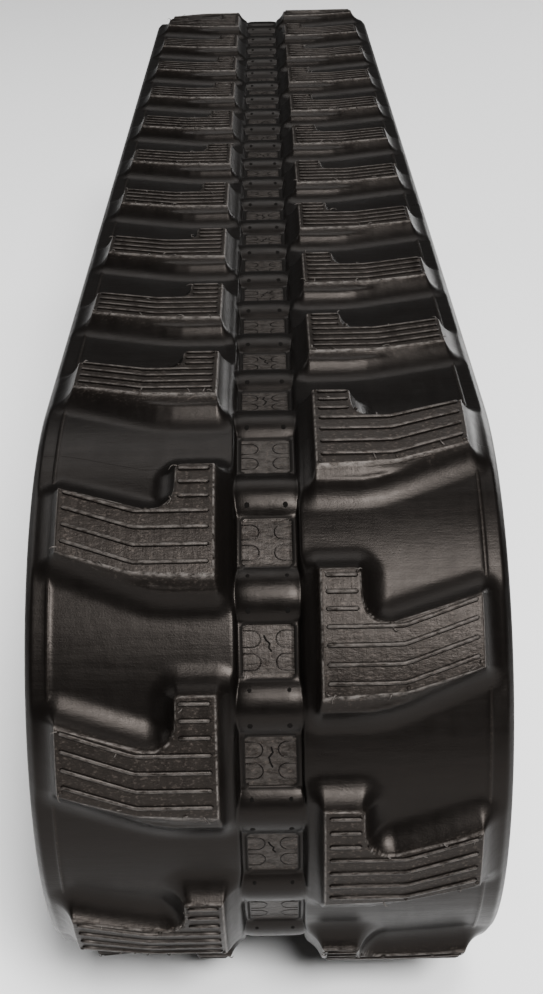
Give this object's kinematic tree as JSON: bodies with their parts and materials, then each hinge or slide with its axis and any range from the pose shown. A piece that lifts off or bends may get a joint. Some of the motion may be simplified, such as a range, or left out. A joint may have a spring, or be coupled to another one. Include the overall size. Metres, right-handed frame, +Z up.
{
  "type": "rubber track",
  "caption": "Endless rubber crawler track with staggered block lugs, steel cores with paired guide horns, wire cords and sprocket windows.",
  "frame": {"origin": "centre of the bounding box's base, on the plane the lug tops of the bottom run stand on", "axes": "+X across the belt, +Y along the straight runs, +Z up"},
  "size_m": [0.231, 1.3372, 0.3396],
  "materials": {
    "tread": "moulded, satin",
    "inner": "moulded, matte",
    "core": "forged, dark",
    "cord": "brass-plated wire"
  },
  "bodies": {
    "bottom_run": {"tread_rubber": "tread", "inner_rubber": "inner", "cords_left": "cord", "cords_right": "cord", "core_01": "core", "core_02": "core", "core_03": "core", "core_04": "core", "core_05": "core", "core_06": "core", "core_07": "core", "core_08": "core", "core_09": "core", "core_10": "core", "core_11": "core", "core_12": "core", "core_13": "core", "core_14": "core", "core_15": "core", "core_16": "core", "core_17": "core", "core_18": "core", "core_19": "core"},
    "near_bend": {"core_20": "core", "core_21": "core", "core_22": "core", "core_23": "core", "core_24": "core", "core_25": "core", "core_26": "core", "core_27": "core", "core_28": "core"},
    "top_run": {"core_29": "core", "core_30": "core", "core_31": "core", "core_32": "core", "core_33": "core", "core_34": "core", "core_35": "core", "core_36": "core", "core_37": "core", "core_38": "core", "core_39": "core", "core_40": "core", "core_41": "core", "core_42": "core", "core_43": "core", "core_44": "core", "core_45": "core", "core_46": "core", "core_47": "core"},
    "far_bend": {"core_48": "core", "core_49": "core", "core_50": "core", "core_51": "core", "core_52": "core", "core_53": "core", "core_54": "core", "core_55": "core", "core_56": "core"}
  },
  "joints": [
    {"name": "near_roll", "type": "hinge", "parent": "bottom_run", "child": "near_bend", "pos_m": [0, -0.49875, 0.0194], "axis": [-1, 0, 0], "range_deg": [-8, 8], "stiffness_Nm_per_rad": 400, "deforming": ["tread_rubber", "inner_rubber", "cords_left", "cords_right"]},
    {"name": "top_level", "type": "hinge", "parent": "near_bend", "child": "top_run", "pos_m": [0, -0.49875, 0.3202], "axis": [-1, 0, 0], "range_deg": [-8, 8]},
    {"name": "far_roll", "type": "hinge", "parent": "top_run", "child": "far_bend", "pos_m": [0, 0.49875, 0.3202], "axis": [-1, 0, 0], "range_deg": [-8, 8]}
  ],
  "couplings": [
    {"joint": "top_level", "follows": "near_roll", "ratio": -1},
    {"joint": "far_roll", "follows": "near_roll", "ratio": 1}
  ]
}
